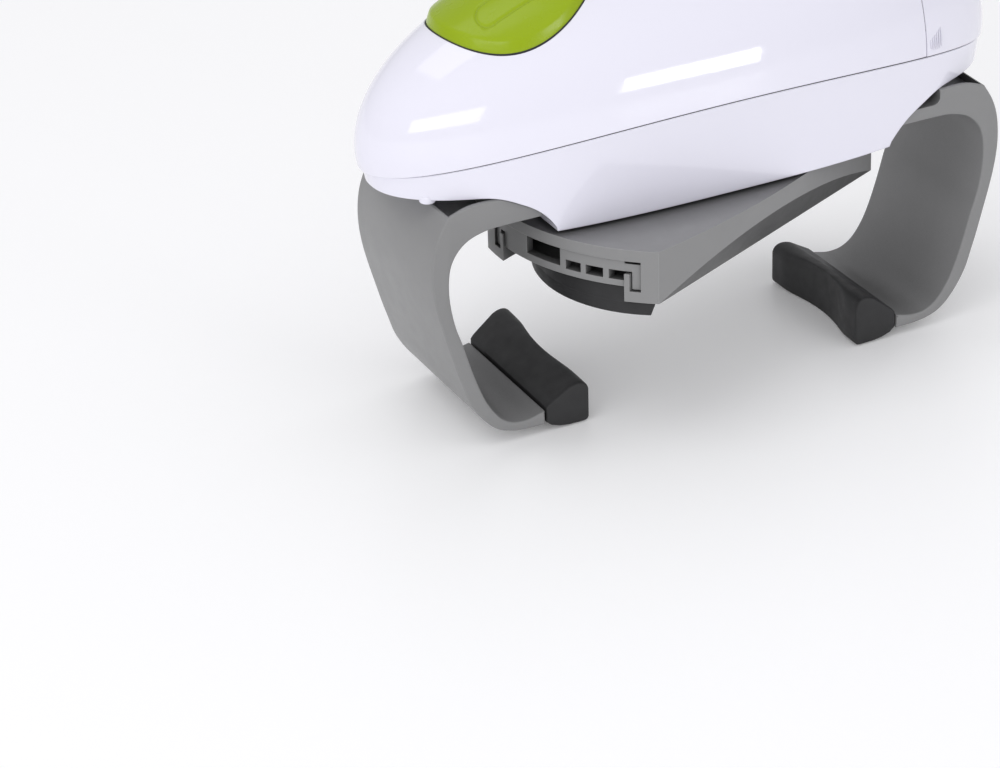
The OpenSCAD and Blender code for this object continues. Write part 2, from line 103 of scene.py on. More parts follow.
def bevel(ob, mm, segments=2, angle=50, weight=False):
    m = ob.modifiers.new("round", "BEVEL")
    m.width = mm * MM
    m.segments = segments
    m.limit_method = "WEIGHT" if weight else "ANGLE"
    m.angle_limit = math.radians(angle)
    m.miter_outer = "MITER_ARC"
    m.use_clamp_overlap = True
    return m


def cut(ob, *cutters):
    for c in cutters:
        m = ob.modifiers.new("cut", "BOOLEAN")
        m.operation = "DIFFERENCE"
        m.solver = "EXACT"
        m.object = c
    settle(ob)
    for c in cutters:
        bpy.data.objects.remove(c)


def rod(name, x, y, z0, z1, r, n=40):
    vs, fs = [], []
    for z in (z0, z1):
        for i in range(n):
            a = 2 * math.pi * i / n
            vs.append((x + r * math.cos(a), y + r * math.sin(a), z))
    fs.append(list(range(n))[::-1])
    fs.append(list(range(n, 2 * n)))
    for i in range(n):
        fs.append((i, (i + 1) % n, n + (i + 1) % n, n + i))
    return make(name, vs, fs)


def join(name, parts):
    """One mesh from several lists of (verts, faces)."""
    vs, fs = [], []
    for v, f in parts:
        k = len(vs)
        vs += list(v)
        fs += [tuple(i + k for i in q) for q in f]
    return make(name, vs, fs)


def bez(p0, p1, p2, p3, n):
    out = []
    for i in range(n + 1):
        t = i / n
        u = 1 - t
        out.append(tuple(u ** 3 * a + 3 * u * u * t * b + 3 * u * t * t * c + t ** 3 * d
                         for a, b, c, d in zip(p0, p1, p2, p3)))
    return out


def tidy(pts, gap=0.02):
    out = []
    for p in pts:
        if not out or math.dist(p, out[-1]) > gap:
            out.append(p)
    if math.dist(out[0], out[-1]) <= gap:
        out.pop()
    area = sum(out[i][0] * out[(i + 1) % len(out)][1] - out[(i + 1) % len(out)][0] * out[i][1] for i in range(len(out)))
    return out if area > 0 else out[::-1]


def inset(P, d):
    out = []
    n = len(P)
    for i in range(n):
        a, b, c = Vector(P[i - 1]), Vector(P[i]), Vector(P[(i + 1) % n])
        e1, e2 = (b - a).normalized(), (c - b).normalized()
        n1, n2 = Vector((-e1.y, e1.x)), Vector((-e2.y, e2.x))
        m = (n1 + n2)
        m = m.normalized() if m.length > 1e-6 else n1
        k = 1 / max(0.62, m.dot(n1))
        out.append((b.x + m.x * d * k, b.y + m.y * d * k))
    return out


def prism(P, lo, hi, r, seg=3, plane="xz"):
    """Outline P extruded from lo to hi along the third axis, with both rims rounded."""
    P = tidy(P)
    rings = []
    steps = [(r * (1 - math.sin(math.pi / 2 * k / seg)), r * (1 - math.cos(math.pi / 2 * k / seg))) for k in range(seg + 1)]
    for d, h in steps:
        rings.append((inset(P, d), lo + h))
    for d, h in reversed(steps):
        rings.append((inset(P, d), hi - h))
    vs, fs = [], []
    n = len(P)
    for ring, h in rings:
        for p in ring:
            vs.append((p[0], h, p[1]) if plane == "xz" else (p[0], p[1], h))
    for j in range(len(rings) - 1):
        for i in range(n):
            k = (i + 1) % n
            fs.append((j * n + i, j * n + k, (j + 1) * n + k, (j + 1) * n + i))
    fs.append(tuple(range(n))[::-1])
    fs.append(tuple(range((len(rings) - 1) * n, len(rings) * n)))
    return vs, fs


def turn_z(part, angle):
    c, s = math.cos(angle), math.sin(angle)
    return [(x * c - y * s, x * s + y * c, z) for x, y, z in part[0]], part[1]


def wall(P, steps):
    """P with extra points so that no side is longer than steps."""
    out = []
    for i, a in enumerate(P):
        b = P[(i + 1) % len(P)]
        n = max(1, math.ceil(math.dist(a, b) / steps))
        for k in range(n):
            out.append((a[0] + (b[0] - a[0]) * k / n, a[1] + (b[1] - a[1]) * k / n))
    return out


# ------------------------------------------------------------------ materials


def material(name, rgb, rough, var=0.03, scale=30, rough_var=0.04, grain=0.0, grain_size=0.3, edge=0.3, wear_and_highlight=0.0,
             wear_and_highlight_rgb=None, metal=0.0, spec=0.5, coat=0.0, coat_rough=0.05, sheen=0.0, streak=None, sss=0.0,
             painted_crevice_shade=0.0, reach=12.0, painted_hollow_shade=0.0, under=0.0, glow=0.0):
    m = bpy.data.materials.new(name)
    m.use_nodes = True
    t = m.node_tree
    t.nodes.clear()
    N, L = t.nodes.new, t.links.new
    out = N("ShaderNodeOutputMaterial")
    b = N("ShaderNodeBsdfPrincipled")
    L(b.outputs[0], out.inputs[0])
    b.inputs["Metallic"].default_value = metal
    b.inputs["Specular IOR Level"].default_value = spec
    b.inputs["Coat Weight"].default_value = coat
    b.inputs["Coat Roughness"].default_value = coat_rough
    b.inputs["Sheen Weight"].default_value = sheen
    if glow:
        b.inputs["Emission Color"].default_value = (1, 1, 1, 1)
        b.inputs["Emission Strength"].default_value = glow
    if sss:
        b.inputs["Subsurface Weight"].default_value = sss
        b.inputs["Subsurface Radius"].default_value = (0.001, 0.001, 0.0012)
        b.inputs["Subsurface Scale"].default_value = 1.0
    co = N("ShaderNodeTexCoord")
    src = co.outputs["Object"]
    if streak:
        mp = N("ShaderNodeMapping")
        mp.inputs["Scale"].default_value = streak
        L(src, mp.inputs["Vector"])
        src = mp.outputs["Vector"]
    n1 = N("ShaderNodeTexNoise")
    n1.inputs["Scale"].default_value = scale
    n1.inputs["Detail"].default_value = 4
    L(src, n1.inputs["Vector"])
    mix = N("ShaderNodeMix")
    mix.data_type = "RGBA"
    mix.inputs["A"].default_value = (*[max(0, c * (1 - var)) for c in rgb], 1)
    mix.inputs["B"].default_value = (*[min(1, c * (1 + var)) for c in rgb], 1)
    L(n1.outputs["Fac"], mix.inputs["Factor"])
    colour = mix.outputs["Result"]
    n2 = N("ShaderNodeTexNoise")
    n2.inputs["Scale"].default_value = scale * 5
    n2.inputs["Detail"].default_value = 3
    L(src, n2.inputs["Vector"])
    mr = N("ShaderNodeMapRange")
    mr.inputs["From Min"].default_value = 0.3
    mr.inputs["From Max"].default_value = 0.7
    mr.inputs["To Min"].default_value = max(0.01, rough - rough_var)
    mr.inputs["To Max"].default_value = min(1, rough + rough_var)
    L(n2.outputs["Fac"], mr.inputs["Value"])
    L(mr.outputs["Result"], b.inputs["Roughness"])
    bv = None
    if edge:
        bv = N("ShaderNodeBevel")
        bv.samples = 6
        bv.inputs["Radius"].default_value = edge * MM
    # paler colour on rounded edges: partly rubbed wear, partly painted highlight along the rims
    if wear_and_highlight and bv:
        geo = N("ShaderNodeNewGeometry")
        dot = N("ShaderNodeVectorMath")
        dot.operation = "DOT_PRODUCT"
        L(bv.outputs["Normal"], dot.inputs[0])
        L(geo.outputs["Normal"], dot.inputs[1])
        er = N("ShaderNodeMapRange")
        er.inputs["From Min"].default_value = 0.995
        er.inputs["From Max"].default_value = 0.82
        er.inputs["To Min"].default_value = 0.0
        er.inputs["To Max"].default_value = wear_and_highlight
        L(dot.outputs["Value"], er.inputs["Value"])
        w = N("ShaderNodeMix")
        w.data_type = "RGBA"
        L(er.outputs["Result"], w.inputs["Factor"])
        L(colour, w.inputs["A"])
        w.inputs["B"].default_value = (*(wear_and_highlight_rgb or [min(1, c * 1.5) for c in rgb]), 1)
        colour = w.outputs["Result"]
    # painted shade: ambient occlusion darkens the base colour in crevices, gaps and contact spots, standing in for
    # contact shadows
    if painted_crevice_shade:
        ao = N("ShaderNodeAmbientOcclusion")
        ao.samples = 8
        ao.inputs["Distance"].default_value = reach * MM
        ar = N("ShaderNodeMapRange")
        ar.inputs["From Min"].default_value = 0.15
        ar.inputs["From Max"].default_value = 0.85
        ar.inputs["To Min"].default_value = painted_crevice_shade
        ar.inputs["To Max"].default_value = 0.0
        L(ao.outputs["AO"], ar.inputs["Value"])
        crevice_shade_mix = N("ShaderNodeMix")
        crevice_shade_mix.data_type = "RGBA"
        L(ar.outputs["Result"], crevice_shade_mix.inputs["Factor"])
        L(colour, crevice_shade_mix.inputs["A"])
        crevice_shade_mix.inputs["B"].default_value = (*[c * 0.08 for c in rgb], 1)
        colour = crevice_shade_mix.outputs["Result"]
    # painted shade: the part's own ambient occlusion darkens the base colour inside its hollows, such as the inner
    # faces of the arms
    if painted_hollow_shade:
        oc = N("ShaderNodeAmbientOcclusion")
        oc.samples = 8
        oc.only_local = True
        oc.inputs["Distance"].default_value = 90 * MM
        om = N("ShaderNodeMapRange")
        om.inputs["From Min"].default_value = 0.35
        om.inputs["From Max"].default_value = 0.92
        om.inputs["To Min"].default_value = painted_hollow_shade
        om.inputs["To Max"].default_value = 0.0
        L(oc.outputs["AO"], om.inputs["Value"])
        hollow_shade_mix = N("ShaderNodeMix")
        hollow_shade_mix.data_type = "RGBA"
        L(om.outputs["Result"], hollow_shade_mix.inputs["Factor"])
        L(colour, hollow_shade_mix.inputs["A"])
        hollow_shade_mix.inputs["B"].default_value = (*[c * 0.12 for c in rgb], 1)
        colour = hollow_shade_mix.outputs["Result"]
    # painted shade: faces that point downwards get a darker base colour, standing in for the shade beneath the part
    if under:
        gn = N("ShaderNodeNewGeometry")
        sx = N("ShaderNodeSeparateXYZ")
        L(gn.outputs["Normal"], sx.inputs[0])
        um = N("ShaderNodeMapRange")
        um.inputs["From Min"].default_value = -0.05
        um.inputs["From Max"].default_value = -0.47
        um.inputs["To Min"].default_value = 0.0
        um.inputs["To Max"].default_value = under
        L(sx.outputs["Z"], um.inputs["Value"])
        underside_shade_mix = N("ShaderNodeMix")
        underside_shade_mix.data_type = "RGBA"
        L(um.outputs["Result"], underside_shade_mix.inputs["Factor"])
        L(colour, underside_shade_mix.inputs["A"])
        underside_shade_mix.inputs["B"].default_value = (*[c * 0.2 for c in rgb], 1)
        colour = underside_shade_mix.outputs["Result"]
    L(colour, b.inputs["Base Color"])
    if grain:
        n3 = N("ShaderNodeTexNoise")
        n3.inputs["Scale"].default_value = 1 / (grain_size * MM)
        n3.inputs["Detail"].default_value = 2
        L(src, n3.inputs["Vector"])
        bump = N("ShaderNodeBump")
        bump.inputs["Strength"].default_value = grain
        bump.inputs["Distance"].default_value = grain_size * MM * 0.25
        L(n3.outputs["Fac"], bump.inputs["Height"])
        if bv:
            L(bv.outputs["Normal"], bump.inputs["Normal"])
        L(bump.outputs["Normal"], b.inputs["Normal"])
    elif bv:
        L(bv.outputs["Normal"], b.inputs["Normal"])
    return m


WHITE = material("white_abs", (0.80, 0.79, 0.885), 0.075, var=0.008, rough_var=0.02, grain=0.02, grain_size=2.2, edge=0.3,
                 wear_and_highlight=0.25, wear_and_highlight_rgb=(0.86, 0.86, 0.93), coat=0.35, coat_rough=0.03)
WHITE_INNER = material("white_inner", (0.72, 0.72, 0.76), 0.5, var=0.02, grain=0.2, grain_size=0.4, edge=0.2, painted_crevice_shade=0.5)
GREEN = material("green_button", (0.285, 0.395, 0.003), 0.25, var=0.03, rough_var=0.05, grain=0.05, grain_size=1.4, edge=0.3,
                 wear_and_highlight=0.8, wear_and_highlight_rgb=(0.50, 0.62, 0.14), coat=0.08, coat_rough=0.06, spec=0.3, painted_crevice_shade=0.6, reach=1.2)
GREY = material("grey_plastic", (0.228, 0.228, 0.229), 0.42, var=0.015, scale=45, rough_var=0.03, grain=0.2,
                grain_size=0.25, edge=0.35, wear_and_highlight=0.45, wear_and_highlight_rgb=(0.40, 0.40, 0.40), painted_crevice_shade=0.12, reach=6, painted_hollow_shade=0.7)
# the grey frame carries painted shade in its crevices and on its downward faces (under)
GREY_FRAME = material("grey_frame", (0.235, 0.235, 0.236), 0.4, var=0.03, scale=45, rough_var=0.06, grain=0.2,
                      grain_size=0.2, edge=0.3, wear_and_highlight=0.7, wear_and_highlight_rgb=(0.42, 0.42, 0.42), painted_crevice_shade=0.85, reach=14, under=0.9)
RUBBER = material("black_rubber", (0.022, 0.022, 0.023), 0.55, var=0.06, scale=60, rough_var=0.06, grain=0.3,
                  grain_size=0.2, edge=0.25, wear_and_highlight=0.4, wear_and_highlight_rgb=(0.075, 0.075, 0.08), spec=0.4, painted_crevice_shade=0.5, reach=8)
STEEL = material("bright_steel", (0.62, 0.63, 0.65), 0.24, var=0.05, scale=90, rough_var=0.08, grain=0.15,
                 grain_size=0.15, edge=0.2, wear_and_highlight=0.3, wear_and_highlight_rgb=(0.85, 0.86, 0.88), metal=1.0, streak=(1, 1, 8))
CAN = material("motor_can", (0.55, 0.56, 0.58), 0.32, var=0.06, scale=60, rough_var=0.09, grain=0.1, grain_size=0.3,
               edge=0.3, metal=1.0, streak=(1, 1, 6))
BRASS = material("brass", (0.66, 0.45, 0.17), 0.28, var=0.08, scale=80, rough_var=0.08, grain=0.12, grain_size=0.2,
                 edge=0.15, wear_and_highlight=0.4, wear_and_highlight_rgb=(0.86, 0.68, 0.34), metal=1.0)
NYLON = material("nylon", (0.70, 0.67, 0.57), 0.45, var=0.03, scale=50, grain=0.15, grain_size=0.25, edge=0.15, painted_crevice_shade=0.4,
                 reach=4)
INNER = material("grey_inner", (0.11, 0.11, 0.115), 0.5, var=0.04, grain=0.3, grain_size=0.3, edge=0.25)
BLACK = material("black_plastic", (0.018, 0.018, 0.018), 0.42, var=0.08, grain=0.25, grain_size=0.3, edge=0.25, wear_and_highlight=0.3,
                 wear_and_highlight_rgb=(0.05, 0.05, 0.05))
BOARD = material("circuit_board", (0.02, 0.12, 0.035), 0.35, var=0.15, scale=160, grain=0.15, grain_size=0.5, edge=0.1)
RED = material("red_plastic", (0.50, 0.03, 0.02), 0.35, var=0.04, grain=0.1, grain_size=0.3, edge=0.15)
CELL = material("cell_label", (0.05, 0.13, 0.09), 0.28, var=0.06, scale=40, grain=0.06, grain_size=0.6, edge=0.4, wear_and_highlight=0.5,
                wear_and_highlight_rgb=(0.5, 0.5, 0.5), coat=0.3)
# near-black colour of the gap rings: painted shade for the seams
GAP_SHADE = material("seam_gap_shade", (0.012, 0.012, 0.016), 0.6, var=0.1, grain=0.1, grain_size=0.4, edge=0)

for name, mat in {
    "top_cover": WHITE, "bottom_cover": WHITE, "battery_door": WHITE, "start_button": GREEN, "button_springs": STEEL,
    "switch_plunger": RED, "micro_switch": BLACK, "switch_board": BOARD, "switch_bracket": WHITE_INNER, "motor": CAN,
    "motor_shaft": STEEL, "motor_pinion": BRASS, "reduction_gear_1": NYLON, "reduction_gear_2": NYLON,
    "spindle_gear": NYLON, "centre_pin": STEEL, "gear_axle": STEEL, "gearbox_base": INNER, "gearbox_top": INNER,
    "frame_bearing": NYLON, "spindle": STEEL, "arm_pinion": BRASS, "left_arm": GREY, "right_arm": GREY,
    "left_arm_pad": RUBBER, "right_arm_pad": RUBBER, "lid_frame": GREY_FRAME, "jaw_pinion": BRASS,
    "pinion_screw": STEEL, "near_jaw": GREY_FRAME, "far_jaw": GREY_FRAME, "near_lid_pad": RUBBER, "far_lid_pad": RUBBER,
    "batteries": CELL, "battery_tray": BLACK, "battery_contacts": STEEL, "cover_screws": STEEL,
}.items():
    me = nodes[name].data
    if not me.materials:
        me.materials.append(mat)
    for i in range(len(me.materials)):
        me.materials[i] = mat


def dress(ob, mat, body, *stands_for, slot=None):
    ob.data.materials.clear()
    ob.data.materials.append(mat)
    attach(ob, body)
    if stands_for:
        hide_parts(*stands_for)
    return ob


# ------------------------------------------------------------------ housing surface

A_LEFT, A_RIGHT, B_HALF = 96.2, 93.2, 35.0
Z0, DH = 79.5, 49.0


def seam_z(x):
    return 88.6 - 10.8 * (x / 91) ** 2


def dome(u, v):
    """Unit disc to the upper shell: the rim of the disc is the parting line, its middle the crown."""
    rho = min(1.0, math.hypot(u, v))
    th = math.atan2(v, u)
    t = 1 - rho
    a = A_LEFT if math.cos(th) < 0 else A_RIGHT
    p0 = math.asin((seam_z(0.984 * a * math.cos(th)) - Z0) / DH)
    p = p0 + (math.pi / 2 - p0) * t
    k = (1 - 0.016 * (1 - t) ** 6) * math.cos(p)
    return a * k * math.cos(th), B_HALF * k * math.sin(th), Z0 + DH * math.sin(p)


def dome_top(x, y):
    a = A_LEFT if x < 0 else A_RIGHT
    return Z0 + DH * math.sqrt(max(0.0, 1 - (x / a) ** 2 - (y / B_HALF) ** 2))


def bisect(f, lo, hi, n=50):
    flo = f(lo)
    for _ in range(n):
        mid = (lo + hi) / 2
        if (f(mid) > 0) == (flo > 0):
            lo = mid
        else:
            hi = mid
    return (lo + hi) / 2


BX, BA, BB = -50.2, 22.6, 19.4     # button centre and half axes


def hole_f(x, y, g):
    return ((x - BX) / (BA + g)) ** 2 + (y / (BB + g)) ** 2 - 1


def disc_of(x, y):
    """The disc point above plan position x, y."""
    a = A_LEFT if x < 0 else A_RIGHT
    th = math.atan2(y / B_HALF, x / a)
    want = math.hypot(x / a, y / B_HALF)

    def g(rho):
        px, py, _ = dome(rho * math.cos(th), rho * math.sin(th))
        return math.hypot(px / a, py / B_HALF) - want
    rho = bisect(g, 0.0, 1.0)
    return rho * math.cos(th), rho * math.sin(th)


# ---- top cover: rows from the button hole out to the parting line and the door line
DOOR_X = 60.0
cu, cv = disc_of(BX, 0)


def circle_hit(dx, dy):
    b = cu * dx + cv * dy
    return -b + math.sqrt(max(0, b * b - (cu * cu + cv * cv - 1)))


def corner_dir(sgn, xcut):
    """Direction in the disc from the hole's middle to the rim point at x = xcut."""
    th = bisect(lambda t: dome(math.cos(t), math.sin(t))[0] - xcut, 0.02, math.pi / 2)
    return math.atan2(sgn * math.sin(th) - cv, math.cos(th) - cu), th


k1, TH_CUT = corner_dir(1, DOOR_X)
k2 = -k1
angles = []
n_mid, n_out = 70, 190
for i in range(n_mid):
    angles.append(k2 + (k1 - k2) * i / n_mid)
for i in range(n_out):
    angles.append(k1 + (2 * math.pi - (k1 - k2)) * i / n_out)
ROWS = 60
grid = []
for psi in angles:
    dx, dy = math.cos(psi), math.sin(psi)

    def at(r):
        return dome(cu + dx * r, cv + dy * r)
    far = circle_hit(dx, dy)
    if at(far)[0] > DOOR_X + 1e-6:
        far = bisect(lambda r: at(r)[0] - DOOR_X, 0.0, far)
    near = bisect(lambda r: hole_f(*at(r)[:2], 0.5), 1e-4, far)
    col = []
    for j in range(ROWS + 1):
        s = j / ROWS
        s = 0.5 * s + 0.5 * (s * s * (3 - 2 * s))
        col.append(at(near + (far - near) * s))
    grid.append(col)
vs = [p for col in grid for p in col]
fs = []
W = ROWS + 1
for i in range(len(grid)):
    k = (i + 1) % len(grid)
    for j in range(ROWS):
        fs.append((i * W + j, i * W + j + 1, k * W + j + 1, k * W + j))
top = make("top_shell", vs, fs)
outward(top)
if top.data.polygons[0].normal.z < 0:
    top.data.flip_normals()
solidify(top, 2.2)
bevel(top, 0.16, 2)
settle(top, 40)
dress(top, WHITE, "housing", "top_cover", slot="white_shell")

# ---- battery door: rows from the door line to the end of the parting line
DX2 = 60.35
_, th_d = corner_dir(1, DX2)
arc = []
NC = 110


def cut_point(th, xcut):
    """Disc point on x = xcut at disc angle th."""
    hi = 1.0
    rho = bisect(lambda r: dome(r * math.cos(th), r * math.sin(th))[0] - xcut, 0.0, hi)
    return rho * math.cos(th), rho * math.sin(th)


vs, fs = [], []
NR = 46
for i in range(NC + 1):
    q = -1 + 2 * i / NC
    th = th_d * math.sin(q * math.pi / 2)
    a = cut_point(th, DX2) if 0 < i < NC else (math.cos(th), math.sin(th))
    b = (math.cos(th), math.sin(th))
    for j in range(NR + 1):
        s = j / NR
        s = 0.6 * s + 0.4 * (s * s * (3 - 2 * s))
        vs.append(dome(a[0] + (b[0] - a[0]) * s, a[1] + (b[1] - a[1]) * s))
W = NR + 1
for i in range(NC):
    for j in range(NR):
        fs.append((i * W + j, i * W + j + 1, (i + 1) * W + j + 1, (i + 1) * W + j))
door = make("battery_door_shell", vs, fs)
outward(door)
if sum(p.normal.x for p in door.data.polygons) < 0:
    door.data.flip_normals()
solidify(door, 2.2)
bevel(door, 0.16, 2)
settle(door, 40)
dress(door, WHITE, "door", "battery_door", slot="white_shell")


def on_section(x, z, sgn):
    """Point of the shell at x and height z, and its outward normal in the YZ plane."""
    a = A_LEFT if x < 0 else A_RIGHT
    p = math.asin((z - Z0) / DH)
    base = math.asin((seam_z(x) - Z0) / DH)
    t = max(0.0, (p - base) / (math.pi / 2 - base))
    k = 1 - 0.016 * (1 - t) ** 6
    y = B_HALF * k * math.sqrt(max(0, 1 - (x / a) ** 2 - ((z - Z0) / DH) ** 2))
    n = Vector((x / a ** 2, y / B_HALF ** 2, (z - Z0) / DH ** 2)).normalized()
    return Vector((x, sgn * y, z)), Vector((n.x, sgn * n.y, n.z))


# grip ribs beside the door line, on both sides
parts = []
for sgn in (-1, 1):
    for x, za, zb in ((61.9, 85.6, 88.0), (62.7, 85.2, 88.4), (63.5, 85.0, 88.8), (64.3, 84.9, 89.3), (65.1, 84.9, 89.8), (65.9, 85.1, 90.2)):
        rings = []
        M = 12
        for k in range(M + 1):
            z = za + (zb - za) * k / M
            c, n = on_section(x, z, sgn)
            taper = math.sin(math.pi * min(max(k / M, 0.04), 0.96)) ** 0.4
            rings.append([c + n * (0.22 * taper * math.sin(w) - 0.06) + Vector((0.17 * math.cos(w), 0, 0))
                          for w in [math.pi * q / 8 - 0.1 + 0.2 * q / 8 for q in range(9)]])
        v, f = [tuple(p) for r in rings for p in r], []
        q = 9
        for k in range(M):
            for i in range(q):
                f.append((k * q + i, k * q + (i + 1) % q, (k + 1) * q + (i + 1) % q, (k + 1) * q + i))
        f.append(tuple(range(q))[::-1])
        f.append(tuple(range(M * q, (M + 1) * q)))
        parts.append((v, f))
ribs = join("door_grip_ribs", parts)
outward(ribs)
shade(ribs, 40)
dress(ribs, WHITE, "door", slot="white_shell")

# ---- bottom cover
BLOCK_L, BLOCK_Z, END_Z = 50.5, 58.9, 72.1
arch = [(BLOCK_L, BLOCK_Z)] + bez((50.55, 59.8), (52.3, 62.4), (54.5, 65.9), (60.0, 68.6), 20) + \
    bez((60.0, 68.6), (63.5, 70.3), (66.0, 72.1), (72.0, 72.1), 20)[1:] + [(130, END_Z)]


def under(x):
    x = abs(x)
    if x <= BLOCK_L:
        return BLOCK_Z
    for (x0, z0), (x1, z1) in zip(arch, arch[1:]):
        if x <= x1:
            return z0 + (z1 - z0) * (x - x0) / (x1 - x0)
    return END_Z


def se(c, n):
    return math.copysign(abs(c) ** (2 / n), c)


def hull(th, u):
    a = (93.2 if math.cos(th) < 0 else 90.6) - 4 * u
    b = 34 - 7.7 * max(u, 0) ** 0.85
    n = 2.07 + 0.55 * u
    x, y = a * se(math.cos(th), n), b * se(math.sin(th), n)
    zt = seam_z(x) - 0.38
    return x, y, zt - (zt - BLOCK_Z) * u


def u_end(th):
    if under(hull(th, 1.0)[0]) <= BLOCK_Z + 1e-9:
        return 1.0
    return bisect(lambda u: hull(th, u)[2] - under(hull(th, u)[0]), 0.0, 1.0)


def th_where(f, lo, hi):
    return bisect(f, lo, hi)


base = [math.pi * i / 200 for i in range(201)]
extra = []
for z in (62.2, 71.95):
    for lo, hi in ((0.05, math.pi / 2), (math.pi - 0.05, math.pi / 2)):
        extra.append(th_where(lambda t: hull(t, u_end(t))[2] - z, lo, hi))
for lo, hi in ((0.05, math.pi / 2), (math.pi - 0.05, math.pi / 2)):
    extra.append(th_where(lambda t: abs(hull(t, u_end(t))[0]) - (BLOCK_L - 0.01), lo, hi))
    extra.append(th_where(lambda t: abs(hull(t, u_end(t))[0]) - (BLOCK_L + 0.4), lo, hi))
base = [t for t in base if all(abs(t - e) > 0.004 for e in extra)] + extra
base = sorted(base)
ths = base + [-t for t in reversed(base[1:-1])]
NROW = 26
vs, fs, low = [], [], []
for th in ths:
    ue = u_end(th)
    for j in range(NROW + 1):
        vs.append(hull(th, ue * j / NROW))
    low.append(vs[-1])
W = NROW + 1
n = len(ths)
for i in range(n):
    k = (i + 1) % n
    for j in range(NROW):
        fs.append((i * W + j, i * W + j + 1, k * W + j + 1, k * W + j))
# underside: strips across y between each pair of mirrored columns
nb = len(base)
K1, K2 = 3, 10
strips = []
for i in range(nb):
    x, y, z = low[i]
    y = abs(y)
    inner = min(23.0, y - min(0.6, y * 0.2)) if y > 0.01 else 0.0
    row = [y + (inner - y) * k / K1 for k in range(K1)] + [inner - 2 * inner * k / K2 for k in range(K2)] + \
          [-inner + (inner - y) * k / K1 for k in range(K1 + 1)]
    ids = []
    for q, yy in enumerate(row):
        if q == 0:
            ids.append(i * W + NROW)
        elif q == len(row) - 1:
            ids.append((i if i in (0, nb - 1) else n - i) * W + NROW)
        else:
            vs.append((x, yy, z))
            ids.append(len(vs) - 1)
    strips.append((x, z, ids))
flat = []
for (x0, z0, a), (x1, z1, b) in zip(strips, strips[1:]):
    if max(z0, z1) < BLOCK_Z + 0.02:
        flat.append((a, b))
        continue
    open_here = min(z0, z1) > 62.15 and max(z0, z1) < 72.0
    for q in range(len(a) - 1):
        if open_here and K1 <= q < K1 + K2:
            continue
        fs.append((a[q], b[q], b[q + 1], a[q + 1]))
# the flat plate with its hub hole
ring = [ab[0][0] for ab in flat] + [flat[-1][1][0]] + flat[-1][1][1:-1] + [flat[-1][1][-1]] + \
       [ab[0][-1] for ab in reversed(flat)] + flat[0][0][1:-1][::-1]
hole = []
for i in range(72):
    w = 2 * math.pi * i / 72
    vs.append((13.5 * math.cos(w), 13.5 * math.sin(w), BLOCK_Z))
    hole.append(len(vs) - 1)
loops = [[Vector(vs[i]) for i in ring], [Vector(vs[i]) for i in reversed(hole)]]
flat_ids = ring + list(reversed(hole))
for tri in tessellate_polygon(loops):
    fs.append(tuple(flat_ids[i] for i in tri))
fs = [f for f in fs if len(set(f)) == len(f)]
low_shell = make("bottom_shell", vs, fs)
outward(low_shell)
mean = sum((p.normal.dot(Vector((p.center.x, p.center.y * 3, p.center.z - 0.075))) for p in low_shell.data.polygons))
if mean < 0:
    low_shell.data.flip_normals()
solidify(low_shell, 2.0)
bevel(low_shell, 0.22, 3, angle=38)
settle(low_shell, 38)
cutters = []
for x, y in ((-74, -11.5), (-74, 11.5), (86, 0)):
    cutters.append(rod("cutter", x, y, 71.0, 75.0, 2.85))
cut(low_shell, *cutters)
shade(low_shell, 38)
dress(low_shell, WHITE, "housing", "bottom_cover", slot="white_shell")

# thin near-black rings set just inside the parting line, the door line and the button's gap: painted shade that keeps
# these gaps dark
vs, fs = [], []
TN = 240
for off, dz in ((0.3, 0.03), (0.3, 0.35), (1.8, 0.35), (1.8, 0.03)):
    for i in range(TN):
        x, y, z = hull(2 * math.pi * i / TN, 0.0)
        r = Vector((x / 93 ** 2, y / 34 ** 2)).normalized()
        vs.append((x - r.x * off, y - r.y * off, z + dz))
for j in range(4):
    for i in range(TN):
        a, b = j * TN, ((j + 1) % 4) * TN
        fs.append((a + i, a + (i + 1) % TN, b + (i + 1) % TN, b + i))
gap_shade_parts = [(vs, fs)]
vs, fs = [], []
TN = 90
for off, xx in ((0.35, 60.03), (0.35, 60.32), (1.8, 60.32), (1.8, 60.03)):
    for i in range(TN + 1):
        th = -th_d * 0.985 + 2 * th_d * 0.985 * i / TN
        x, y, z = dome(*cut_point(th, xx))
        nn = Vector((0, y / B_HALF ** 2, (z - Z0) / DH ** 2)).normalized()
        vs.append((xx, y - nn.y * off, z - nn.z * off))
n = TN + 1
for j in range(4):
    a, b = j * n, ((j + 1) % 4) * n
    for i in range(TN):
        fs.append((a + i, a + i + 1, b + i + 1, b + i))
fs.append((0, n, 2 * n, 3 * n))
fs.append((TN, 3 * n + TN, 2 * n + TN, n + TN))
gap_shade_parts.append((vs, fs))
vs, fs = [], []
TN = 160
for grow, dz in ((0.06, -0.3), (0.44, -0.3), (0.44, -1.3), (0.06, -1.3)):
    for i in range(TN):
        w = 2 * math.pi * i / TN
        x, y = BX + (BA + grow) * math.cos(w), (BB + grow) * math.sin(w)
        vs.append((x, y, dome_top(x, y) + dz))
for j in range(4):
    for i in range(TN):
        a, b = j * TN, ((j + 1) % 4) * TN
        fs.append((a + i, a + (i + 1) % TN, b + (i + 1) % TN, b + i))
gap_shade_parts.append((vs, fs))
gap_shades = join("seam_gap_shades", gap_shade_parts)
outward(gap_shades)
shade(gap_shades, 40)
dress(gap_shades, GAP_SHADE, "housing", slot="white_inner")

# small stop bosses under the raised end beside the arm
parts = []
for x, y in ((-82.5, -13.4), (-82.5, 13.4)):
    P = [(x + 2.2 * math.cos(2 * math.pi * i / 40), y + 2.2 * math.sin(2 * math.pi * i / 40)) for i in range(40)]
    parts.append(prism(P, 70.9, 73.2, 0.4, 3, plane="xy"))
boss = join("stop_bosses", parts)
outward(boss)
shade(boss, 40)
dress(boss, WHITE, "housing", slot="white_shell")

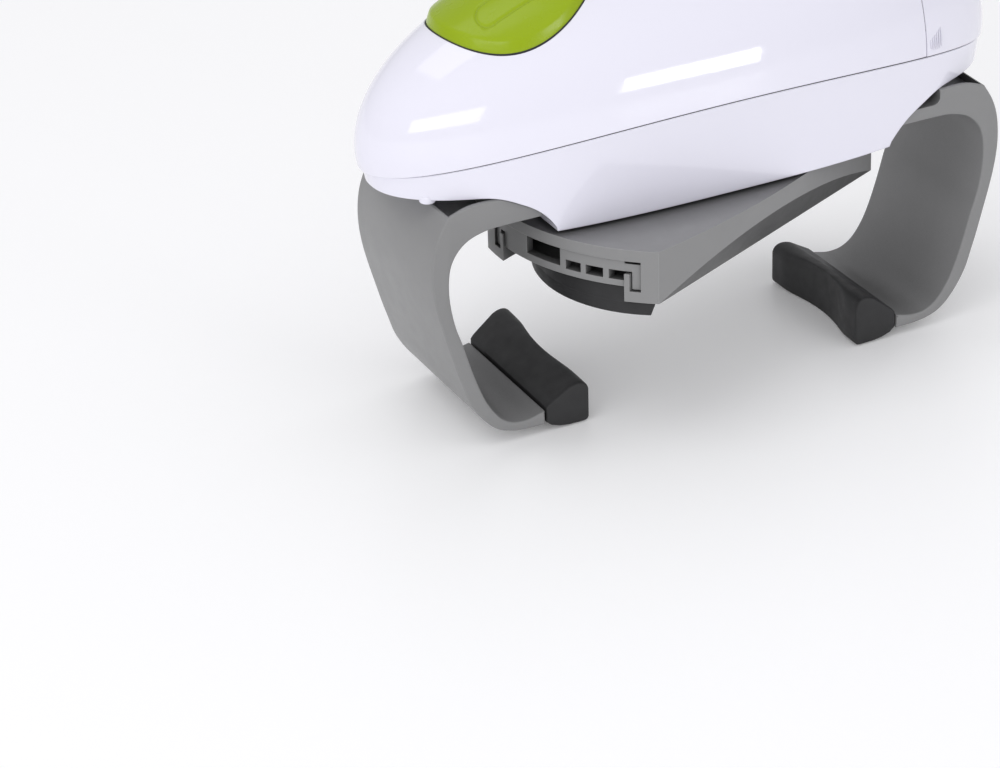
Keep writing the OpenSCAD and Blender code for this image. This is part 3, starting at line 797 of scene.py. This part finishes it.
# ------------------------------------------------------------------ button


def mark_depth(x, y):
    """Plain engraved outline of a U-shaped band."""
    if x < -46:
        dx = max(-61.6 - x, 0.0)
        d = math.hypot(dx, abs(y) - 9.2)
    else:
        d = abs(math.hypot(x + 46, y) - 9.2)
    s = abs(d - 3.1)
    if s > 0.5:
        return 0.0
    t = 1 - s / 0.5
    return 0.38 * t * t * (3 - 2 * t)


NB = 320
rings = []
rhos = [0.02 + (0.86 - 0.02) * k / 92 for k in range(93)]


def button_pt(th, rho, dz, grow=0.0):
    x, y = BX + (BA * rho + grow) * math.cos(th), (BB * rho + grow) * math.sin(th)
    return x, y, dome_top(x, y) + dz


rim = [(0.90, 2.2), (0.935, 2.19), (0.95, 2.12), (0.961, 1.96), (0.968, 1.72), (0.976, 1.3), (0.985, 0.8), (0.994, 0.3), (1.0, -0.1)]
vs, fs = [], []
count = 0
for rho in rhos:
    for i in range(NB):
        th = 2 * math.pi * i / NB
        x, y, z = button_pt(th, rho, 2.2)
        vs.append((x, y, z - mark_depth(x, y)))
    count += 1
for rho, dz in rim:
    for i in range(NB):
        vs.append(button_pt(2 * math.pi * i / NB, rho, dz))
    count += 1
for rho, z in ((1.0, 105.5), (0.92, 105.5)):
    for i in range(NB):
        x, y, zz = button_pt(2 * math.pi * i / NB, rho, -1.5 if z else 0)
        vs.append((x, y, min(z, zz)))
    count += 1
for rho in (0.92, 0.6, 0.3, 0.05):
    for i in range(NB):
        x, y, z = button_pt(2 * math.pi * i / NB, rho, -0.2)
        vs.append((x, y, z))
    count += 1
for j in range(count - 1):
    for i in range(NB):
        k = (i + 1) % NB
        fs.append((j * NB + i, j * NB + k, (j + 1) * NB + k, (j + 1) * NB + i))
vs.append((BX, 0, dome_top(BX, 0) + 2.2))
vs.append((BX, 0, dome_top(BX, 0) - 0.2))
for i in range(NB):
    fs.append((len(vs) - 2, (i + 1) % NB, i))
    fs.append((len(vs) - 1, (count - 1) * NB + i, (count - 1) * NB + (i + 1) % NB))
stem = []
for x, y, r, z0, z1 in ((BX, 0, 3.0, 110.65, 121.4), (BX, 11, 1.5, 113.5, 118.3), (BX, -11, 1.5, 113.5, 118.3)):
    P = [(x + r * math.cos(2 * math.pi * i / 32), y + r * math.sin(2 * math.pi * i / 32)) for i in range(32)]
    stem.append(prism(P, z0, z1, 0.25, 2, plane="xy"))
button = join("green_push_button", [(vs, fs)] + stem)
outward(button)
shade(button, 50)
dress(button, GREEN, "button", "start_button", slot="green_button")



def coil_part(y0, z0, z1, radius, wire, turns):
    """Round-wire compression spring with closer end coils."""
    k, seg = 10, 26
    n = turns * seg
    vs, fs = [], []
    for j in range(n + 1):
        t = j / n
        a = 2 * math.pi * turns * t
        z = z0 + wire + (z1 - z0 - 2 * wire) * (t - math.sin(2 * math.pi * t) / (2 * math.pi) * 0.55)
        for i in range(k):
            b = 2 * math.pi * i / k
            q = radius + wire * math.cos(b)
            vs.append((BX + q * math.cos(a), y0 + q * math.sin(a), z + wire * math.sin(b)))
    for j in range(n):
        for i in range(k):
            m = (i + 1) % k
            fs.append((j * k + i, (j + 1) * k + i, (j + 1) * k + m, j * k + m))
    fs.append(tuple(range(k)))
    fs.append(tuple(range(n * k, (n + 1) * k))[::-1])
    return vs, fs


coils = join("button_coils", [coil_part(y, 101.6, 115.1, 2.3, 0.35, 6) for y in (-11, 11)])
outward(coils)
shade(coils, 60)
dress(coils, STEEL, "housing", "button_springs")
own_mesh(coils)

# ------------------------------------------------------------------ arms and their rubber pads

ARM_W = 22.6


def smooth(P, k):
    """Curve through the points P, k steps between each pair."""
    out = []
    for i in range(len(P) - 1):
        p0, p1, p2, p3 = P[max(0, i - 1)], P[i], P[i + 1], P[min(len(P) - 1, i + 2)]
        for q in range(k):
            t = q / k
            out.append(tuple(0.5 * (2 * b + (c - a) * t + (2 * a - 5 * b + 4 * c - d) * t * t + (3 * b - a - 3 * c + d) * t ** 3)
                             for a, b, c, d in zip(p0, p1, p2, p3)))
    return out + [P[-1]]


def arm_outline():
    return [(54, 67.3), (57.6, 67.3)] + smooth([(58.4, 67.45), (60.9, 68.85), (64.0, 70.4), (66.6, 71.3), (71.5, 71.5), (74.9, 71.3),
                                  (77.8, 70.6), (81.3, 69.3)], 4) + \
        smooth([(81.3, 69.3), (83.9, 65.0), (85.5, 60.5), (86.2, 55.6), (86.2, 50.3), (85.4, 44.3), (83.9, 37.9), (82.2, 31.8),
                (80.4, 25.4), (78.8, 20.4), (77.3, 15.8), (75.6, 12.4), (73.8, 9.6), (71.7, 7.0), (69.4, 4.9), (67.0, 3.6),
                (63.9, 2.7), (60.9, 2.3), (58.0, 2.2), (54.8, 2.2)], 4)[1:] + \
        smooth([(54.8, 6.2), (56.6, 5.8), (59.2, 5.2), (61.5, 5.1), (64.1, 5.5), (66.5, 6.7), (68.4, 8.4), (70.2, 10.8),
                (71.9, 13.8), (73.7, 18.1), (75.9, 24.6), (78.0, 31.8), (79.9, 37.6), (81.1, 43.6), (81.5, 49.2),
                (80.9, 54.8), (78.9, 58.8), (75.6, 61.6), (71.0, 63.1), (66.0, 63.5), (54, 63.5)], 4)


def rack_outline():
    """Plan outline of the rack leg with its teeth towards the pinion."""
    pts = [(54.2, -15.5), (54.2, -10.1)]
    p = math.pi
    h = p / 4 - 0.06
    tan = math.tan(math.radians(25))
    for k in range(7, -3, -1):
        c = k * p
        pts += [(c + h + 1.1 * tan, -10.1), (c + h - 0.8 * tan, -8.2), (c - h + 0.8 * tan, -8.2), (c - h - 1.1 * tan, -10.1)]
    pts += [(-8, -10.1), (-8, -15.5)]
    return [q for q in pts if q[0] >= -8]


arm_parts = [
    prism(arm_outline(), -ARM_W, ARM_W, 0.55, 3),
    prism([(48.5, -18), (55.2, -18), (55.2, 18), (48.5, 18)], 3.4, 5.5, 0.3, 2, plane="xy"),
    prism(rack_outline(), 63.7, 67.3, 0.15, 1, plane="xy"),
    prism([(34, 15.6), (54.2, 15.6), (54.2, 21.2), (34, 21.2)], 63.7, 67.3, 0.4, 2, plane="xy"),
]


def pad_section(y):
    """Outline of the rubber pad at y: its front is hollowed to the jar's radius."""
    P = [(54.3, 2.6), (54.3, 4.8), (54.3, 7.1)] + bez((54.3, 7.4), (52, 9.1), (50, 10.4), (47.5, 12.2), 8)[1:] + \
        bez((47.5, 12.2), (45.2, 13.4), (42.2, 13.6), (41.5, 10.2), 16)[1:] + \
        [(41.5, 9.0), (41.5, 7.0), (41.5, 5.0), (41.5, 3.0)] + bez((41.5, 1.6), (41.5, 0.7), (42.0, 0.0), (42.9, 0.0), 6) + \
        [(45, 0.0), (47.5, 0.05), (50.3, 0.45), (52.8, 1.3)]
    xc = math.sqrt(max(0, 44.5 ** 2 - y * y))
    P = [(x, z if z < 6 else 6 + (z - 6) * (1 - 0.16 * y / ARM_W)) for x, z in P]
    out = []
    for x, z in P:
        d = x - xc
        out.append((0.5 * (x + xc + math.sqrt(d * d + 0.35)), z))
    return out


def pad_mesh():
    ys = []
    r, seg = 0.6, 4
    for k in range(seg + 1):
        a = math.pi / 2 * k / seg
        ys.append((-ARM_W + r * (1 - math.cos(a)), r * (1 - math.sin(a))))
    m = 44
    for k in range(1, m):
        ys.append((-ARM_W + r + (2 * ARM_W - 2 * r) * k / m, 0.0))
    for k in range(seg, -1, -1):
        a = math.pi / 2 * k / seg
        ys.append((ARM_W - r * (1 - math.cos(a)), r * (1 - math.sin(a))))
    vs, fs = [], []
    for y, d in ys:
        P = pad_section(y)
        if d:
            area = sum(P[i][0] * P[(i + 1) % len(P)][1] - P[(i + 1) % len(P)][0] * P[i][1] for i in range(len(P)))
            P = inset(P, d if area > 0 else -d)
        for x, z in P:
            vs.append((x, y, max(z, 0.0)))
    n = len(pad_section(0))
    for j in range(len(ys) - 1):
        for i in range(n):
            k = (i + 1) % n
            fs.append((j * n + i, j * n + k, (j + 1) * n + k, (j + 1) * n + i))
    fs.append(tuple(range(n))[::-1])
    fs.append(tuple(range((len(ys) - 1) * n, len(ys) * n)))
    return vs, fs


for side, angle in (("right", 0.0), ("left", math.pi)):
    sx = 1 if angle == 0 else -1
    bow = join("bow", [turn_z(arm_parts[0], angle)])
    outward(bow)
    lo, hi = sorted((sx * 68.3, sx * 80.7))
    pocket = join("pocket", [prism([(lo, -21.6), (hi, -21.6), (hi, 21.6), (lo, 21.6)], 67.2, 76.0, 0.1, 1, plane="xy")])
    outward(pocket)
    step = join("step", [turn_z(prism([(50, 67.25)] + bez((64.4, 67.25), (65.9, 67.25), (66.7, 67.8), (66.9, 68.9), 6) +
                                      [(66.9, 76), (50, 76)], -26.0, 21.0, 0.05, 1), angle)])
    outward(step)
    cut(bow, pocket, step)
    bow_part = ([tuple(c / MM for c in v.co) for v in bow.data.vertices], [tuple(f.vertices) for f in bow.data.polygons])
    bpy.data.objects.remove(bow)
    arm = join(side + "_arm_bow", [bow_part] + [turn_z(p, angle) for p in arm_parts[1:]])
    outward(arm)
    shade(arm, 26)
    dress(arm, GREY, "arm_" + side, side + "_arm", slot="grey_plastic")
    pad = join(side + "_jar_pad", [turn_z(pad_mesh(), angle)])
    outward(pad)
    shade(pad, 40)
    dress(pad, RUBBER, "arm_" + side, side + "_arm_pad", slot="black_rubber")

# ------------------------------------------------------------------ lid pads


def lid_pad_parts():
    """Rubber pad of the near jaw: an arc against the lid, wider than the jaw below it."""
    def outline(w0, w1, r_in, r_out=35.0):
        inner, outer = [], []
        m = 60
        for k in range(m + 1):
            w = w0 + (w1 - w0) * k / m
            inner.append((-math.sqrt(r_in ** 2 - w * w), w))
            q = w + 7
            outer.append((-19 - math.sqrt(max(0.0, r_out ** 2 - q * q)), w))
        # keep only where the outer arc lies outside the inner one
        pairs = [(a, b) for a, b in zip(inner, outer) if b[0] < a[0] - 0.25]
        return [b for a, b in pairs] + [a for a, b in reversed(pairs)]
    return [prism(wall(outline(-26.4, 23.0, 41.5), 3), 38.4, 42.65, 0.9, 4, plane="xy"),
            prism(wall(outline(-19.5, 19.5, 42.7), 3), 42.0, 47.0, 0.3, 2, plane="xy")]


def trim(ob, co, no):
    """Cuts away what lies beyond the plane and closes the face."""
    bm = bmesh.new()
    bm.from_mesh(ob.data)
    res = bmesh.ops.bisect_plane(bm, geom=bm.verts[:] + bm.edges[:] + bm.faces[:], dist=1e-7, plane_co=co, plane_no=no,
                                 clear_outer=True)
    rim = [e for e in res["geom_cut"] if isinstance(e, bmesh.types.BMEdge)]
    bmesh.ops.contextual_create(bm, geom=rim)
    bmesh.ops.recalc_face_normals(bm, faces=bm.faces)
    bm.to_mesh(ob.data)
    bm.free()


for name, angle in (("near", TURN), ("far", TURN + math.pi)):
    lower, upper = lid_pad_parts()
    pad = join(name + "_lid_grip", [lower])
    outward(pad)
    c, s = math.cos(math.radians(36.87)), math.sin(math.radians(36.87))
    c2, s2 = math.cos(math.radians(19.4)), math.sin(math.radians(19.4))
    trim(pad, Vector((-48.6, -26.9, 42.6)) * MM, Vector((s * c2, -c * c2, -s2)))
    low_part = ([tuple(q / MM for q in v.co) for v in pad.data.vertices], [tuple(f.vertices) for f in pad.data.polygons])
    bpy.data.objects.remove(pad)
    pad = join(name + "_lid_grip", [turn_z(low_part, angle), turn_z(upper, angle)])
    outward(pad)
    shade(pad, 35)
    dress(pad, RUBBER, "jaw_" + name, name + "_lid_pad", slot="black_rubber")

# ------------------------------------------------------------------ camera, floor and light

cam_data = bpy.data.cameras.new("camera")
cam_data.lens = 140.0
cam_data.sensor_width = 36.0
cam_data.sensor_fit = "HORIZONTAL"
cam_data.clip_start, cam_data.clip_end = 0.01, 50
cam = bpy.data.objects.new("camera", cam_data)
scene.collection.objects.link(cam)
F = Vector((0.39, 0.7866, -0.4788)).normalized()
R = Vector((0.8892, -0.4568, -0.0263))
R = (R - F * R.dot(F)).normalized()
U = R.cross(F)
cam.matrix_world = Matrix(((R.x, U.x, -F.x, -0.4653), (R.y, U.y, -F.y, -0.8241), (R.z, U.z, -F.z, 0.5059), (0, 0, 0, 1)))
scene.camera = cam

floor = make("floor", [(-9000, -9000, -0.3), (9000, -9000, -0.3), (9000, 9000, -0.3), (-9000, 9000, -0.3)], [(0, 1, 2, 3)])
floor.data.materials.append(material("pale_floor", (0.93, 0.93, 0.935), 0.38, var=0.006, scale=2, rough_var=0.03, edge=0, spec=0.3, glow=0.1))


def softbox(name, centre, along, up_hint, width, height, radiance, rgb=(1, 1, 1)):
    data = bpy.data.lights.new(name, "AREA")
    data.shape = "RECTANGLE"
    data.size, data.size_y = width, height
    data.energy = radiance * math.pi * width * height
    data.color = rgb
    ob = bpy.data.objects.new(name, data)
    c = Vector(centre)
    z = (c - Vector((0, 0, 0.09))).normalized()
    x = Vector(along)
    x = (x - z * x.dot(z)).normalized()
    y = z.cross(x)
    ob.matrix_world = Matrix(((x.x, y.x, z.x, c.x), (x.y, y.y, z.y, c.y), (x.z, y.z, z.z, c.z), (0, 0, 0, 1)))
    scene.collection.objects.link(ob)
    return ob


softbox("strip_front", (0.493, -1.407, 0.253), (0.535, 0.174, -0.069), None, 0.57, 0.18, 8.0)
softbox("strip_left", (-0.96, -1.075, 0.40), (0.72, -0.645, 0.0), None, 0.97, 0.27, 2.6)
softbox("key_left", (-1.9, -0.75, 0.75), (0.37, -0.93, 0.0), None, 1.5, 1.1, 1.2).visible_glossy = False
softbox("top_fill", (-0.7, -0.1, 1.8), (1, 0, 0), None, 1.2, 1.2, 1.2)

world = bpy.data.worlds.new("studio")
scene.world = world
world.use_nodes = True
wt = world.node_tree
wt.nodes.clear()
wo = wt.nodes.new("ShaderNodeOutputWorld")
bg = wt.nodes.new("ShaderNodeBackground")
co = wt.nodes.new("ShaderNodeTexCoord")
sep = wt.nodes.new("ShaderNodeSeparateXYZ")
ramp = wt.nodes.new("ShaderNodeValToRGB")
ramp.color_ramp.elements[0].position = 0.0
ramp.color_ramp.elements[0].color = (0.66, 0.66, 0.68, 1)
ramp.color_ramp.elements[1].position = 0.55
ramp.color_ramp.elements[1].color = (0.98, 0.98, 1.0, 1)
wt.links.new(co.outputs["Generated"], sep.inputs[0])
wt.links.new(sep.outputs["Z"], ramp.inputs["Fac"])
wt.links.new(ramp.outputs["Color"], bg.inputs["Color"])
bg.inputs["Strength"].default_value = 0.78
wt.links.new(bg.outputs[0], wo.inputs[0])

scene.view_settings.view_transform = "Standard"
scene.view_settings.look = "None"
